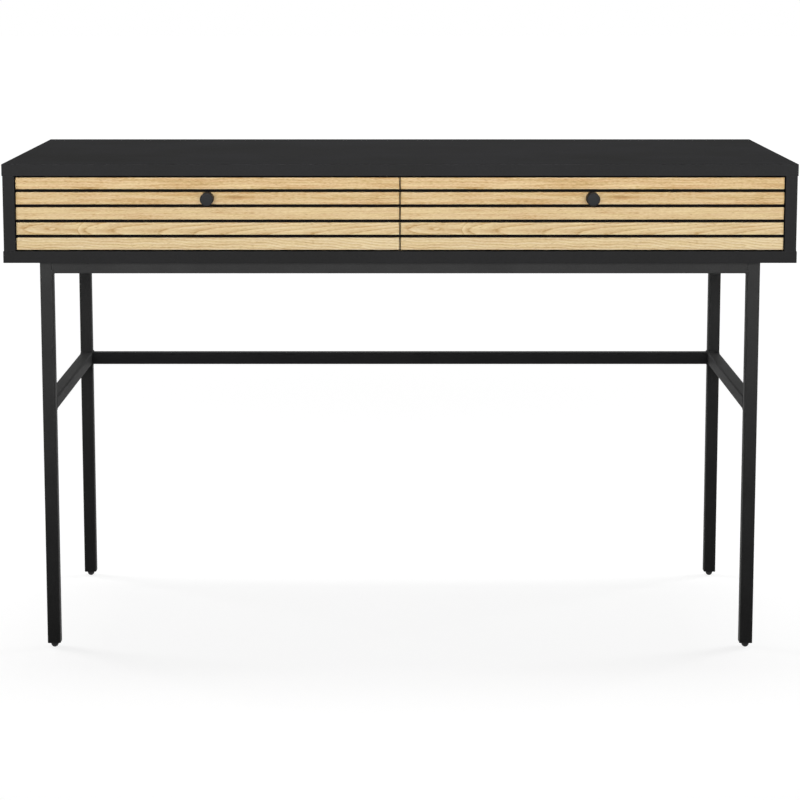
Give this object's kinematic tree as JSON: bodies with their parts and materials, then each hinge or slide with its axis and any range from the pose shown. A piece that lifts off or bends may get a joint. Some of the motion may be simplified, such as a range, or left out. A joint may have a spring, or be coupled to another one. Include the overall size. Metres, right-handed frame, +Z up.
{
  "type": "writing desk",
  "caption": "Shallow black desk case on a slim square tube frame, with slatted oak drawer fronts, round knobs and ball-bearing drawer slides.",
  "frame": {"origin": "on the floor under the middle of the desk's whole box, knobs included", "axes": "+X to the right of the desk, -Y towards the person who sits at it, +Z up"},
  "size_m": [1.2, 0.522, 0.76],
  "materials": {
    "black_melamine": "matt melamine with a fine pearl texture",
    "black_hardboard": "painted hardboard, satin",
    "powder_coated_steel": "black powder coat, fine texture, matt",
    "oak": "natural oak, matt lacquer",
    "black_stained_board": "black stain, matt",
    "drawer_board": "foil-wrapped board, matt black",
    "drawer_hardboard": "foil-faced hardboard, matt black",
    "black_lacquered_metal": "black lacquer, satin",
    "black_nylon": "moulded nylon, satin",
    "zinc_plated_steel": "zinc plated, semi-bright",
    "galvanised_steel": "galvanised, semi-bright",
    "zinc_die_casting": "die cast zinc, dull",
    "cage_steel": "bright steel strip",
    "bearing_steel": "polished",
    "beech": "turned beech, bare"
  },
  "bodies": {
    "root": {"top_panel": "black_melamine", "bottom_panel": "black_melamine", "left_side_panel": "black_melamine", "right_side_panel": "black_melamine", "divider_panel": "black_melamine", "back_panel": "black_hardboard", "panel_dowels": "beech", "cam_locks": "zinc_die_casting", "cam_bolts": "zinc_plated_steel", "front_left_leg": "powder_coated_steel", "front_right_leg": "powder_coated_steel", "back_left_leg": "powder_coated_steel", "back_right_leg": "powder_coated_steel", "front_rail": "powder_coated_steel", "back_rail": "powder_coated_steel", "left_rail": "powder_coated_steel", "right_rail": "powder_coated_steel", "left_stretcher": "powder_coated_steel", "right_stretcher": "powder_coated_steel", "back_stretcher": "powder_coated_steel", "leg_glides": "black_nylon", "frame_bolts": "zinc_plated_steel", "insert_nuts": "zinc_plated_steel", "cabinet_runner_screws": "zinc_plated_steel", "left_cabinet_runners": "galvanised_steel", "right_cabinet_runners": "galvanised_steel"},
    "left_drawer": {"left_drawer_carrier": "black_stained_board", "left_drawer_knob": "black_lacquered_metal", "left_drawer_knob_screw": "zinc_plated_steel", "left_drawer_box_left": "drawer_board", "left_drawer_box_right": "drawer_board", "left_drawer_box_back": "drawer_board", "left_drawer_box_bottom": "drawer_hardboard", "left_drawer_runners": "galvanised_steel", "left_drawer_screws": "zinc_plated_steel", "left_drawer_slat_1": "oak", "left_drawer_slat_2": "oak", "left_drawer_slat_3": "oak", "left_drawer_slat_4": "oak", "left_drawer_slat_5": "oak"},
    "left_cages": {"left_ball_cages": "cage_steel", "left_slide_balls": "bearing_steel"},
    "right_drawer": {"right_drawer_carrier": "black_stained_board", "right_drawer_knob": "black_lacquered_metal", "right_drawer_knob_screw": "zinc_plated_steel", "right_drawer_box_left": "drawer_board", "right_drawer_box_right": "drawer_board", "right_drawer_box_back": "drawer_board", "right_drawer_box_bottom": "drawer_hardboard", "right_drawer_runners": "galvanised_steel", "right_drawer_screws": "zinc_plated_steel", "right_drawer_slat_1": "oak", "right_drawer_slat_2": "oak", "right_drawer_slat_3": "oak", "right_drawer_slat_4": "oak", "right_drawer_slat_5": "oak"},
    "right_cages": {"right_ball_cages": "cage_steel", "right_slide_balls": "bearing_steel"}
  },
  "joints": [
    {"name": "left_drawer_slide", "type": "slide", "parent": "root", "child": "left_drawer", "axis": [0, -1, 0], "range_m": [0, 0.3]},
    {"name": "left_cages_slide", "type": "slide", "parent": "root", "child": "left_cages", "axis": [0, -1, 0], "range_m": [0, 0.15]},
    {"name": "right_drawer_slide", "type": "slide", "parent": "root", "child": "right_drawer", "axis": [0, -1, 0], "range_m": [0, 0.3]},
    {"name": "right_cages_slide", "type": "slide", "parent": "root", "child": "right_cages", "axis": [0, -1, 0], "range_m": [0, 0.15]}
  ],
  "couplings": [
    {"joint": "left_cages_slide", "follows": "left_drawer_slide", "ratio": 0.5},
    {"joint": "right_cages_slide", "follows": "right_drawer_slide", "ratio": 0.5}
  ]
}
